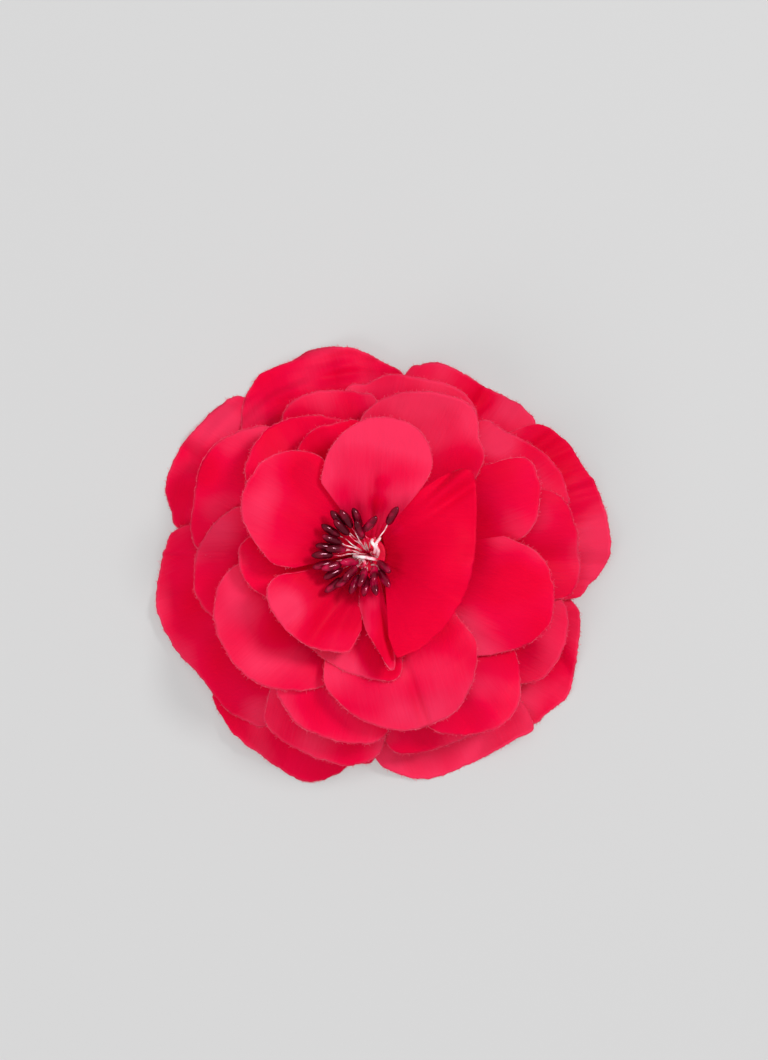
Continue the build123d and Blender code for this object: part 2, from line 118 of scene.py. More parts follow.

# Each petal: its rim as (direction, reach), its level in the stack, and its own shape.
# lift raises the middle of the rim. creases are (direction, depth, width, radius where
# deepest, how far they fade over). bumps are (direction, radius, size, height). wrinkles,
# veins and gathers are how strongly it is wrinkled along its rim, across it and at its foot.
# tone is how pale it is, and patches, which are (direction, radius, size, amount), are
# paler or deeper than that.
# A petal's tone and its patches are painted light and shade: paler where light falls on the petal,
# deeper where the petals around it shade it.
PETALS = {
    "outer": [
        dict(level=1, lift=1.0, tone=0.4, wrinkles=4.5,
             creases=[(98, 0.8, 3, 56, 16), (112, -0.7, 4, 56, 16)],
             rim=[(72, 40), (79, 49), (86, 52), (95, 56), (105, 57.5), (112, 56.5),
                  (121, 57), (129, 54), (136, 48), (143, 40)]),
        dict(level=0, tone=0.6, creases=[(54, -2.8, 2.0, 54, 14), (58, 1.6, 4, 54, 14)],
             patches=[(54, 52, 4, -0.7), (46, 55, 4, 0.3)],
             rim=[(29, 40), (33, 50), (38, 57), (43, 57.5), (47, 57), (51, 56), (56, 55),
                  (62, 55), (70, 55), (75, 53), (78, 51), (84, 40)]),
        dict(level=1, lift=1.0, tone=0.4, veins=3.5,
             patches=[(4, 61, 8, 0.6), (-8, 60, 7, 0.4), (28, 58, 8, -0.5)],
             creases=[(27, -1.4, 2.2, 60, 16), (18, 0.8, 4, 62, 14)],
             rim=[(-17, 44), (-12, 57), (-8, 60), (-4, 63), (1, 65), (9, 65), (17, 64),
                  (24, 62), (31, 61), (38, 57), (44, 44)]),
        dict(level=0, tone=0.55, creases=[(-31, -1.6, 2.5, 62, 14), (-40, 1.2, 4, 62, 14)],
             rim=[(-55, 44), (-51, 58), (-46, 64), (-41, 65), (-36, 66), (-30, 64),
                  (-25, 62), (-18, 60), (-13, 56), (-7, 44)]),
        dict(level=1, lift=1.5, tone=0.75, wrinkles=1.0,
             rim=[(-93, 44), (-88, 56), (-82, 60.5), (-76, 63), (-68, 63.2), (-60, 63.2),
                  (-52, 63.6), (-46, 63.5), (-41, 46)]),
        dict(level=0, tone=0.35, patches=[(-108, 60, 7, -0.3), (-134, 55, 7, -0.3)],
             rim=[(-144, 44), (-139, 56), (-134, 59), (-127, 61), (-119, 62),
                  (-111, 63.5), (-105, 64), (-99, 61), (-95, 57), (-89, 56), (-84, 44)]),
        dict(level=1, lift=1.0, tone=0.4,
             patches=[(193, 58, 5, 0.3), (194, 50, 5, -0.4), (214, 50, 8, -0.3)],
             creases=[(189, -1.2, 4, 58, 14), (203, 1.0, 5, 56, 14)],
             rim=[(166, 42), (173, 53), (179, 55.5), (187, 58), (195, 59.5), (204, 59),
                  (211, 57.5), (219, 56.5), (227, 57), (234, 56), (239, 54), (243, 42)]),
        dict(level=0, tone=0.4, wrinkles=3.0, patches=[(141, 54, 7, 0.4), (163, 54, 7, -0.3)],
             creases=[(152, -1.6, 2.5, 56, 14), (146, 1.0, 3, 56, 14)],
             rim=[(124, 42), (129, 55), (136, 57.5), (143, 58), (150, 59), (157, 59),
                  (163, 58), (168, 55), (172, 53), (177, 42)]),
    ],
    "second": [
        dict(level=2, tone=0.5,
             rim=[(47, 38), (52, 47), (59, 50), (66, 50), (75, 49), (84, 48.5), (91, 46),
                  (98, 45), (104, 36)]),
        dict(level=3, tone=0.45, patches=[(43, 45, 5, 0.6), (22, 50, 7, -0.2)],
             rim=[(7, 42), (13, 54), (18, 55.5), (24, 55.5), (30, 54), (36, 51.5),
                  (43, 49), (50, 47), (57, 36)]),
        dict(level=4, tone=0.3, creases=[(-2, -1.2, 3, 52, 16)],
             rim=[(-18, 44), (-12, 54), (-6, 56.5), (1, 56), (8, 55.5), (15, 54),
                  (20, 50), (24, 40)]),
        dict(level=2, tone=0.5,
             rim=[(-47, 40), (-42, 52), (-36, 57), (-30, 58), (-24, 57.5), (-18, 56),
                  (-13, 52), (-8, 40)]),
        dict(level=3, tone=0.3, creases=[(-60, 1.2, 4, 52, 16), (-52, -1.4, 3, 55, 14)],
             rim=[(-89, 42), (-84, 52.5), (-77, 55), (-68, 55.6), (-58, 56.2), (-50, 57.5),
                  (-44, 56), (-39, 46)]),
        dict(level=2, tone=0.55,
             rim=[(-128, 42), (-123, 52), (-117, 55), (-109, 56), (-100, 57),
                  (-93, 56.5), (-87, 53), (-82, 42)]),
        dict(level=3, tone=0.45, patches=[(178, 41, 7, 0.3), (194, 38, 6, -0.3)],
             rim=[(156, 30), (161, 38), (168, 42), (175, 45), (183, 47), (191, 48),
                  (197, 47), (203, 44), (208, 34)]),
        dict(level=2, tone=0.4, patches=[(140, 46, 6, 0.3), (151, 50, 5, -0.4)],
             creases=[(160, -1.2, 4, 46, 14)],
             rim=[(122, 33), (128, 43), (133, 46.5), (139, 49), (146, 51), (154, 51),
                  (163, 49.5), (172, 48.5), (179, 45.5), (184, 36)]),
        dict(level=3, tone=0.45,
             rim=[(82, 32), (88, 42), (94, 43.5), (102, 45), (110, 46), (117, 46),
                  (123, 43), (129, 34)]),
    ],
    "third": [
        dict(level=7, lift=1.0, tone=0.8, patches=[(45, 36, 7, -0.6), (85, 34, 5, -0.3)],
             rim=[(31, 27), (36, 35), (41, 40.5), (47, 42.5), (52, 46.5), (57, 48),
                  (64, 47), (72, 45.5), (80, 43.5), (87, 40.5), (93, 37), (98, 30)]),
        dict(level=6, tone=0.2, patches=[(14, 42, 6, 0.25)],
             rim=[(1, 30), (6, 40), (11, 44.5), (17, 47), (23, 49), (30, 49.5), (34, 46),
                  (38, 38)]),
        dict(level=7, lift=1.5, tone=0.35, bumps=[(5, 33, 7, 2.2), (-25, 40, 8, 1.5)],
             patches=[(5, 34, 5, 0.5), (-42, 33, 8, 0.7), (-14, 44, 7, -0.2)],
             rim=[(-57, 24), (-54, 30), (-50, 34.5), (-44, 39), (-37, 43.5), (-30, 48),
                  (-23, 51), (-17, 51), (-10, 49.5), (-4, 47.5), (2, 43), (8, 36)]),
        dict(level=6, tone=0.2, creases=[(-52, 1.2, 3, 52, 14), (-60, -1.2, 3, 50, 16)],
             rim=[(-77, 40), (-70, 50), (-63, 54), (-56, 57), (-50, 57.5), (-44, 55.5),
                  (-39, 51.5), (-34, 47), (-28, 40)]),
        dict(level=5, tone=0.45,
             rim=[(-130, 34), (-125, 43), (-120, 46), (-113, 49), (-105, 50),
                  (-97, 50.5), (-89, 50), (-83, 46), (-79, 36)]),
        dict(level=6, lift=1.0, tone=0.35, patches=[(203, 40, 8, 0.35), (224, 38, 9, 0.3)],
             bumps=[(205, 36, 8, 1.5)],
             rim=[(178, 26), (184, 35), (189, 39.5), (195, 42.5), (203, 45), (212, 46),
                  (221, 46), (229, 45), (236, 43), (243, 40.5), (252, 36.5), (260, 34),
                  (266, 26)]),
        dict(level=5, tone=0.35,
             rim=[(88, 26), (93, 33), (100, 36), (108, 38.5), (116, 41), (124, 42.5),
                  (132, 43), (141, 41.5), (147, 39.5), (151, 36), (156, 30)]),
    ],
    "fourth": [
        dict(level=8, tone=0.55, creases=[(-72, -1.6, 1.4, 42, 12)], wrinkles=0.6,
             patches=[(-86, 38, 9, 0.2), (-60, 43, 6, 0.2)],
             rim=[(-115, 27), (-110, 35.5), (-104, 39), (-96, 42.5), (-87, 45.5),
                  (-78, 47.5), (-68, 48), (-60, 47), (-53, 44), (-46, 40.5), (-39, 36),
                  (-34, 27)]),
        dict(level=8, tone=0.15,
             rim=[(166, 26), (171, 32), (177, 34.5), (186, 34.5), (194, 33), (202, 30),
                  (208, 27), (213, 20)]),
        dict(level=8, tone=0.05,
             rim=[(87, 26), (92, 34), (98, 36), (106, 36), (115, 36.3), (122, 34.5),
                  (128, 31), (133, 25)]),
        dict(level=9, tone=0.75, creases=[(-96, -0.4, 1.2, 29, 6)],
             patches=[(-88, 27, 4.5, -1.0), (-80, 31, 4.5, -0.9)],
             rim=[(-133, 21), (-127, 27), (-120, 29.5), (-110, 30.5), (-101, 31.5),
                  (-92, 32.5), (-84, 33.3), (-76, 33), (-70, 26)]),
    ],
    "inner": [
        dict(level=13, lift=0.8, tone=0.85, patches=[(80, 14, 2.2, -0.9), (80, 19, 2.0, -0.5)],
             creases=[(87, -1.8, 1.3, 14, 8), (74, 0.7, 4, 26, 14), (102, 0.7, 4, 26, 14)],
             rim=[(52, 21), (53, 26), (56, 29.5), (61, 32.5), (68, 35), (75, 36),
                  (82, 36.3), (89, 36), (96, 34.5), (103, 32.5), (111, 29.5),
                  (119, 25.5), (124, 22.5)]),
        dict(level=11, lift=0.5, tone=0.25, patches=[(163, 30, 9, 0.5), (125, 28, 8, -0.3)],
             creases=[(158, 1.2, 5, 28, 14)],
             rim=[(111, 20), (116, 28), (122, 32), (129, 35), (137, 37), (146, 37.3),
                  (155, 36.7), (163, 35), (171, 31.5), (179, 28), (186, 25), (190, 20)]),
        dict(level=10, tone=0.3, patches=[(212, 23, 6, 0.6), (240, 18, 5, -0.3)],
             creases=[(222, 1.2, 3.5, 24, 12), (236, -1.4, 2.2, 22, 12)],
             rim=[(194, 20), (193, 25), (198, 28), (206, 29.3), (215, 29.7), (225, 29.3),
                  (236, 28.8), (247, 27.5), (258, 26), (264, 20)]),
        dict(level=11, tone=0.6, patches=[(-83, 25, 5, -0.9), (-88, 13, 3, 0.5)],
             creases=[(-77, -2.0, 1.0, 22, 12), (-90, 0.8, 2.0, 18, 10)],
             rim=[(-106, 10), (-102, 13.5), (-97, 16.5), (-93, 19.8), (-88, 23), (-83, 27),
                  (-80, 30.5), (-77, 30), (-75, 25), (-73, 16)]),
        dict(level=12, tone=-0.3, bumps=[(-10, 17, 11, 6.0)], plain_edge=True,
             creases=[(45, -2.0, 1.2, 31, 8), (41, 1.8, 2.0, 30, 12), (34, -1.4, 1.6, 31, 12)],
             gathers=0.2, patches=[(42, 10, 3, 0.7)],
             rim=[(-77, 22), (-75, 27.6), (-69, 27.8), (-62, 28), (-55, 27.6), (-44, 27.2),
                  (-30, 27), (-18, 27), (-6, 27.3), (6, 28), (18, 29.5), (29, 32),
                  (38, 34.5), (43, 33), (48, 27), (53, 20), (60, 13), (70, 8)]),
    ],
}

# painted shade: where all the satin is painted darker, mostly round the stamens' foot, as
# (direction, radius, size, amount)
PAINTED_SHADE = [(222, 8, 7, 0.28), (-95, 6, 4, 0.45), (165, 6, 5, 0.2), (127, 33, 12, 0.15)]

# --- stamens -----------------------------------------------------------------------------

STAMEN_BASE_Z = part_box("stamen_stem")[1].z / MM
STEM_RADIUS = 1.6
STEM_TWIST = 1.2           # of the bundle over its height, in radians
STEM_STEPS = 12            # of each strand's line
STRANDS = ((1, 0.0), (6, 0.55), (12, 1.05), (17, 1.45))     # in each ring, and its radius
STRAND = 0.24              # radius of one
THREAD = 0.16
BARE_THREAD = 0.46         # radius of the doubled thread in the bare loops
PIP_LENGTH, PIP_RADIUS = 6.0, 1.12
PIP_DROOP = 0.45           # how much of its thread's climb a pip keeps
PIP_REDDER = 0.008         # how much redder a pip is for each millimetre right or down
PIP_RINGS, PIP_SIDES = 15, 14
PIP_POINTS = PIP_RINGS * PIP_SIDES

# where the middle of each pip is, as the frame has it
STAMENS = [
    (-5.2, -2.0, 30.4), (-2.6, 6.6, 30.8), (0.1, 8.2, 32.0), (3.8, -3.2, 29.4),
    (-7.3, 7.2, 31.0), (-8.8, 1.5, 31.0), (-5.0, -4.9, 31.4), (-2.0, -5.9, 30.6),
    (1.2, -5.0, 31.4),
    (6.1, 10.2, 33.0), (3.9, -6.3, 29.6), (1.4, -8.0, 29.8), (-1.2, -8.2, 29.0),
    (-3.9, -7.8, 29.6), (-6.9, -6.6, 30.2), (-9.6, -8.0, 29.4), (-9.6, -5.0, 29.2),
    (-9.9, -3.0, 31.0), (-12.2, -2.8, 29.4), (-12.4, -0.2, 30.8), (-11.4, 2.0, 29.2),
    (-9.8, 4.0, 30.2), (-10.2, 6.4, 29.6), (-8.3, 9.4, 30.0), (-6.2, 9.4, 31.4),
    (-3.4, 9.6, 29.2),
]

# how far a pip is turned from pointing straight out, for those that are
PIP_TURNS = {2: -42, 0: -20, 8: -16, 5: 8}

# how much redder or darker a pip is than those near it
PIP_SHADES = {0: 0.35, 1: -0.2, 2: -0.1, 3: 0.1, 4: -0.3, 8: 0.1, 9: -0.25, 19: -0.2, 22: -0.2,
              23: -0.4, 24: -0.2, 25: -0.3}

# loops of bare thread at the tuft's heart, as their points
BARE_LOOPS = [
    [(0.2, 0.4, 22.0), (1.7, -0.6, 27.0), (2.3, 0.9, 30.0), (1.7, 2.6, 31.0), (2.7, 4.4, 29.0)],
    [(0.3, 0.6, 22.0), (1.0, 0.2, 28.0), (1.6, 1.8, 30.6), (0.6, 3.4, 30.4), (1.2, 4.4, 28.4)],
    [(-0.4, -0.3, 22.0), (-1.6, -1.2, 28.0), (-1.2, -2.4, 30.2), (-1.9, -3.2, 28.6)],
    [(0.4, -0.4, 22.0), (1.6, -1.2, 28.4), (0.6, -1.0, 30.4), (-2.0, -0.6, 30.0),
     (-4.2, -0.4, 28.2)],
]


# --- making meshes -----------------------------------------------------------------------

def metres(x, y, z):
    """A point in the frame, from one measured in millimetres from the flower's axis."""
    return Vector(((AXIS.x + x) * MM, (AXIS.y + y) * MM, z * MM))


def new_piece(name, points, faces, materials, body="flower"):
    """A smooth-shaded mesh piece that rides on a body. points are in the frame's metres."""
    mesh = bpy.data.meshes.new(name)
    mesh.from_pydata(points, [], faces)
    mesh.validate()
    mesh.update()
    mesh.shade_smooth()
    for material in materials:
        mesh.materials.append(material)
    piece = bpy.data.objects.new(name, mesh)
    bpy.context.collection.objects.link(piece)
    if body:
        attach(piece, body)
    return piece


def blend_cubic(a, b, c, d, t):
    """The Catmull-Rom curve from b to c, at t from 0 to 1. Takes numbers or vectors."""
    return 0.5 * (2 * b + (c - a) * t + (2 * a - 5 * b + 4 * c - d) * t * t
                  + (3 * b - a - 3 * c + d) * t * t * t)


def smooth_line(points, spacing):
    """A smooth line through points, as evenly spaced vectors about spacing apart."""
    points = [Vector(p) for p in points]
    ends = [2 * points[0] - points[1], *points, 2 * points[-1] - points[-2]]
    fine = [blend_cubic(*ends[i:i + 4], step / 12)
            for i in range(len(points) - 1) for step in range(12)] + [points[-1]]
    travelled = [0.0]
    for a, b in zip(fine, fine[1:]):
        travelled.append(travelled[-1] + (b - a).length)
    count = max(2, round(travelled[-1] / spacing))
    line, at = [], 0
    for i in range(count + 1):
        wanted = travelled[-1] * i / count
        while at < len(fine) - 2 and travelled[at + 1] < wanted:
            at += 1
        span = max(travelled[at + 1] - travelled[at], 1e-9)
        line.append(fine[at].lerp(fine[at + 1], min(1, (wanted - travelled[at]) / span)))
    return line


def add_tube(points, faces, line, radius, sides=6, close_ends=True):
    """Adds a tube along a line. radius is a number, or a function of the share travelled."""
    first = len(points)
    side = Vector((0.3, 0.5, 0.8))
    for i, centre in enumerate(line):
        along = (line[min(i + 1, len(line) - 1)] - line[max(i - 1, 0)]).normalized()
        side = (side - along * side.dot(along)).normalized()
        other = along.cross(side)
        size = radius(i / (len(line) - 1)) if callable(radius) else radius
        for k in range(sides):
            turn = tau * k / sides
            points.append(centre + (side * cos(turn) + other * sin(turn)) * size)
    for i in range(len(line) - 1):
        for k in range(sides):
            a, b = first + i * sides + k, first + i * sides + (k + 1) % sides
            faces.append((a, b, b + sides, a + sides))
    if close_ends:
        last = first + (len(line) - 1) * sides
        faces.append(tuple(first + k for k in reversed(range(sides))))
        faces.append(tuple(last + k for k in range(sides)))


# --- materials ---------------------------------------------------------------------------

class Material:
    """A material with one Principled shader, and short ways to add nodes to it."""

    def __init__(self, name, **sockets):
        self.material = bpy.data.materials.new(name)
        self.material.use_nodes = True
        self.tree = self.material.node_tree
        self.shader = self.tree.nodes["Principled BSDF"]
        self.output = self.tree.nodes["Material Output"]
        for socket, value in sockets.items():
            self.shader.inputs[socket.replace("_", " ")].default_value = value

    def node(self, kind, inputs=None, **settings):
        """A new node. inputs maps a socket's name or number to a value or an output."""
        made = self.tree.nodes.new("ShaderNode" + kind)
        for setting, value in settings.items():
            setattr(made, setting, value)
        for socket, value in (inputs or {}).items():
            self.set(made.inputs[socket], value)
        return made

    def set(self, socket, value):
        if isinstance(value, bpy.types.NodeSocket):
            self.tree.links.new(value, socket)
        else:
            socket.default_value = value

    def math(self, operation, *values):
        inputs = dict(enumerate(values))
        return self.node("Math", inputs, operation=operation).outputs[0]

    def ramp(self, factor, *stops):
        """A colour ramp with stops of (place, colour)."""
        made = self.node("ValToRGB", {"Fac": factor})
        while len(made.color_ramp.elements) < len(stops):
            made.color_ramp.elements.new(0.5)
        for element, (place, colour) in zip(made.color_ramp.elements, stops):
            element.position = place
            element.color = (*colour, 1)
        return made.outputs["Color"]

    def mix(self, factor, a, b, kind="MIX"):
        made = self.node("Mix", {0: factor}, data_type="RGBA", blend_type=kind)
        self.set(made.inputs["A"], a)
        self.set(made.inputs["B"], b)
        return made.outputs["Result"]

    def noise(self, where, scale, detail=4, roughness=0.5):
        inputs = {"Vector": where, "Scale": scale, "Detail": detail, "Roughness": roughness}
        return self.node("TexNoise", inputs).outputs["Fac"]

    def stretched(self, where, x, y, z):
        """The coordinates where, scaled by a different number along each axis."""
        inputs = {"Vector": where, "Scale": (x, y, z)}
        return self.node("Mapping", inputs).outputs["Vector"]

    def bump(self, height, strength, distance, normal=None):
        inputs = {"Height": height, "Strength": strength, "Distance": distance}
        if normal is not None:
            inputs["Normal"] = normal
        return self.node("Bump", inputs).outputs["Normal"]

    def let_light_through(self, share, colour, normal=None):
        """Makes a share of the surface translucent, in a colour."""
        inputs = {"Color": colour}
        if normal is not None:
            inputs["Normal"] = normal
        through = self.node("BsdfTranslucent", inputs).outputs["BSDF"]
        both = self.node("MixShader", {0: share, 1: self.shader.outputs["BSDF"], 2: through})
        self.set(self.output.inputs["Surface"], both.outputs["Shader"])


# The satin's reds along its tone. The tone carries painted light and shade, so the palest red also
# stands in for the satin's lit sheen, and the darkest for painted shade.
DARKEST_RED = (0.26, 0.0001, 0.014)
DEEP_RED = (0.84, 0.0001, 0.042)
MIDDLE_RED = (0.87, 0.0016, 0.062)
PALE_RED = (0.92, 0.040, 0.132)


def satin(name, pale=0.0):
    """Stiffened red satin. Its weave and slubs follow the cloth's own flat coordinates."""
    m = Material(name, Roughness=0.5, Specular_IOR_Level=0.06, Sheen_Weight=0.1,
                 Sheen_Roughness=0.35)
    m.shader.inputs["Sheen Tint"].default_value = (1.0, 0.15, 0.30, 1)
    cloth = m.node("UVMap", uv_map="Cloth").outputs["UV"]
    slubs = m.noise(m.stretched(cloth, 90, 2200, 1), 1.0, 3)
    mottle = m.noise(cloth, 45, 4)
    # the tone attribute is painted light and shade on the satin, besides its random blotches
    tone = m.node("Attribute", attribute_name="tone").outputs["Fac"]
    streak = m.math("MULTIPLY_ADD", m.math("SUBTRACT", slubs, 0.5), 0.25, tone)
    streak = m.math("MULTIPLY_ADD", m.math("SUBTRACT", mottle, 0.5), 0.30, streak)
    streak = m.math("ADD", streak, pale)
    shade = m.math("MULTIPLY_ADD", streak, 0.5, 0.5)
    colour = m.ramp(shade, (0.0, DARKEST_RED), (0.5, DEEP_RED), (0.72, MIDDLE_RED), (1.0, PALE_RED))
    m.set(m.shader.inputs["Base Color"], colour)
    warp = m.node("TexWave", {"Vector": cloth, "Scale": 900.0, "Distortion": 0.4},
                  bands_direction="X").outputs["Fac"]
    weft = m.node("TexWave", {"Vector": cloth, "Scale": 700.0, "Distortion": 0.4},
                  bands_direction="Y").outputs["Fac"]
    weave = m.math("MULTIPLY", warp, weft)
    fine = m.bump(weave, 0.12, 0.00008)
    normal = m.bump(slubs, 0.18, 0.0004, fine)
    m.set(m.shader.inputs["Normal"], normal)
    m.let_light_through(0.36, m.mix(0.6, colour, (0.96, 0.001, 0.045, 1)), normal)
    return m.material


def yarn():
    """The loose threads of the satin's cut edges, paler than the cloth."""
    m = Material("cut_yarn", Roughness=0.6, Specular_IOR_Level=0.08, Sheen_Weight=0.8,
                 Sheen_Roughness=0.5)
    m.shader.inputs["Sheen Tint"].default_value = (1.0, 0.20, 0.35, 1)
    where = m.node("NewGeometry").outputs["Position"]
    colour = m.ramp(m.noise(where, 900, 3), (0.35, (0.96, 0.025, 0.120)),
                    (0.65, (1.00, 0.160, 0.270)))
    m.set(m.shader.inputs["Base Color"], colour)
    m.let_light_through(0.3, colour)
    return m.material


def lacquer():
    """The pips' glossy dark red lacquer, with thin patches and shallow ripples."""
    m = Material("pip_lacquer", Roughness=0.15, Specular_IOR_Level=0.7)
    m.shader.inputs["Specular Tint"].default_value = (1.0, 0.45, 0.60, 1)
    where = m.node("NewGeometry").outputs["Position"]
    tone = m.node("Attribute", attribute_name="tone").outputs["Fac"]
    patches = m.math("MULTIPLY_ADD", m.noise(where, 260, 5), 2.6, -1.3)
    colour = m.ramp(m.math("ADD", patches, tone), (0.15, (0.065, 0.0001, 0.005)),
                    (0.5, (0.16, 0.0003, 0.013)), (0.9, (0.46, 0.002, 0.045)))
    m.set(m.shader.inputs["Base Color"], colour)
    m.set(m.shader.inputs["Normal"], m.bump(m.noise(where, 700, 2), 0.2, 0.0002))
    return m.material


def glazed_thread():
    """Stiff pale pink thread, glazed, twisted, and stained red in places."""
    m = Material("glazed_thread", Roughness=0.22, Specular_IOR_Level=0.7, Coat_Weight=0.6,
                 Coat_Roughness=0.08)
    where = m.node("NewGeometry").outputs["Position"]
    stain = m.noise(where, 330, 3)
    colour = m.ramp(stain, (0.40, (0.76, 0.01, 0.08)), (0.48, (0.92, 0.42, 0.50)),
                    (0.58, (0.98, 0.90, 0.90)))
    m.set(m.shader.inputs["Base Color"], colour)
    twist = m.node("TexWave", {"Vector": where, "Scale": 1500.0, "Distortion": 1.0},
                   bands_direction="DIAGONAL").outputs["Fac"]
    m.set(m.shader.inputs["Normal"], m.bump(twist, 0.3, 0.0001))
    return m.material


def set_glue():
    """Hot glue under the stamens, stained by the cloth's dye."""
    m = Material("hot_glue", Roughness=0.5, Specular_IOR_Level=0.15)
    where = m.node("NewGeometry").outputs["Position"]
    colour = m.ramp(m.noise(where, 400, 3), (0.35, (0.62, 0.0005, 0.030)),
                    (0.7, (0.86, 0.0010, 0.050)))
    m.set(m.shader.inputs["Base Color"], colour)
    m.set(m.shader.inputs["Normal"], m.bump(m.noise(where, 700, 3), 0.5, 0.0004))
    return m.material


def felt():
    """Pressed felt: matted fibres in two reds."""
    m = Material("felt", Roughness=0.95, Specular_IOR_Level=0.05, Sheen_Weight=0.35,
                 Sheen_Roughness=0.5)
    m.shader.inputs["Sheen Tint"].default_value = (1.0, 0.15, 0.2, 1)
    where = m.node("NewGeometry").outputs["Position"]
    fibres = m.noise(m.stretched(where, 1, 2.3, 1), 1500, 6, 0.7)
    clumps = m.noise(where, 180, 4)
    both = m.math("MULTIPLY_ADD", clumps, 0.5, m.math("MULTIPLY", fibres, 0.5))
    colour = m.ramp(both, (0.35, (0.22, 0.001, 0.014)), (0.65, (0.60, 0.006, 0.045)))
    m.set(m.shader.inputs["Base Color"], colour)
    m.set(m.shader.inputs["Normal"], m.bump(fibres, 0.7, 0.0005))
    return m.material


def plated_steel(name, grey, roughness, grain):
    """Nickel-plated steel: fine drawing lines along X and a few dull finger marks."""
    m = Material(name, Metallic=1.0)
    where = m.node("NewGeometry").outputs["Position"]
    lines = m.noise(m.stretched(where, 60, 2600, 2600), 1.0, 3)
    marks = m.noise(where, 130, 4, 0.6)
    m.set(m.shader.inputs["Base Color"],
          m.ramp(marks, (0.3, (grey * 0.9, grey * 0.88, grey * 0.84)), (0.7, (grey,) * 3)))
    rough = m.math("MULTIPLY_ADD", marks, 0.22, roughness)
    m.set(m.shader.inputs["Roughness"], m.math("MULTIPLY_ADD", lines, 0.08, rough))
    m.set(m.shader.inputs["Normal"], m.bump(lines, grain, 0.00006))
    return m.material


def plain_floor():
    """A pale light table, faintly lit from within. It is clear from below."""
    m = Material("floor", Roughness=0.9, Specular_IOR_Level=0.1, Emission_Strength=0.305)
    m.shader.inputs["Base Color"].default_value = (0.29, 0.29, 0.291, 1)
    m.shader.inputs["Emission Color"].default_value = (1.0, 1.0, 1.0, 1)
    clear = m.node("BsdfTransparent")
    both = m.node("MixShader", {0: m.node("NewGeometry").outputs["Backfacing"]})
    m.set(both.inputs[1], m.shader.outputs["BSDF"])
    m.set(both.inputs[2], clear.outputs["BSDF"])
    m.set(m.output.inputs["Surface"], both.outputs["Shader"])
    return m.material


SATIN = satin("petal_satin")
CUT_EDGE = satin("petal_cut_edge", pale=0.8)
YARN = yarn()
LACQUER = lacquer()
GLAZED_THREAD = glazed_thread()
SET_GLUE = set_glue()


# --- petals ------------------------------------------------------------------------------

def smoothstep(low, high, x):
    t = min(1.0, max(0.0, (x - low) / (high - low)))
    return t * t * (3 - 2 * t)


def distance_from(x, y, direction, radius):
    """How far (x, y) is from the point at a direction and radius."""
    return hypot(x - radius * cos(radians(direction)), y - radius * sin(radians(direction)))


def ring_rise(ring, r):
    """The ring's rise at a radius: a smooth line through its points from the core's edge."""
    points = [(CORE_RADIUS, 0.0), *RISES[ring]]
    r = min(max(r, points[0][0]), points[-1][0])
    i = next(i for i in range(len(points) - 1) if r <= points[i + 1][0])
    slopes = []
    for k in (i, i + 1):
        (r0, z0), (r1, z1) = points[max(k - 1, 0)], points[min(k + 1, len(points) - 1)]
        slopes.append((z1 - z0) / (r1 - r0))
    (r0, z0), (r1, z1) = points[i], points[i + 1]
    t, span = (r - r0) / (r1 - r0), r1 - r0
    return ((1 + 2 * t) * (1 - t) ** 2 * z0 + t * (1 - t) ** 2 * span * slopes[0]
            + t * t * (3 - 2 * t) * z1 + t * t * (t - 1) * span * slopes[1])


def petal_height(ring, petal, seed, x, y, along, across):
    """Height of a petal at (x, y). along is 0 at the core and 1 at the rim; across is -1 to 1.

    The ring's waves are the same for all its petals, so that one never cuts another. What is
    a petal's own only raises it towards its rim, or is too small to reach the next one.
    """
    r, turn = hypot(x, y), atan2(y, x)
    wave, start, full, vein = WAVES[ring]
    z = LOWEST_LEVEL + LEVEL * petal["level"] + ring_rise(ring, r)
    roll = noise.noise((x / WAVE_SIZE, y / WAVE_SIZE, 2.6 + 0.04 * len(ring)))
    z += wave * smoothstep(start, full, r) * roll
    curl = noise.noise((turn * 2.3, 0.0, seed + 6.1))
    z += RIM_CURL * curl * smoothstep(CURL_START, 1, along)
    fine = noise.noise((turn * 13, r * 0.035, seed))
    fine += 0.5 * noise.noise((turn * 31, r * 0.05, seed))
    far_out = smoothstep(0.25, 1, along)
    z += vein * petal.get("veins", 1) * far_out * fine
    z += WRINKLE * petal.get("wrinkles", 0.3) * far_out * noise.noise((r * 0.4, turn * 4, seed))
    gather = noise.noise((turn * 8, 0.0, seed + 3.3))
    near_core = exp(-((r - CORE_RADIUS - GATHER_OUT) / GATHER_FADE) ** 2)
    z += GATHER * petal.get("gathers", 1) * gather * near_core
    z += petal.get("lift", 0) * max(0, 1 - across ** 2) ** 1.5 * along ** 3
    for direction, depth, width, radius, fade in petal.get("creases", ()):
        off = r * sin(turn - radians(direction))
        z += depth * exp(-(off / width) ** 2 - ((r - radius) / fade) ** 2)
    for direction, radius, spread, height in petal.get("bumps", ()):
        z += height * exp(-(distance_from(x, y, direction, radius) / spread) ** 2)
    return max(z, FLOOR_GAP + 0.25 * exp(min(0, z - 0.5)))


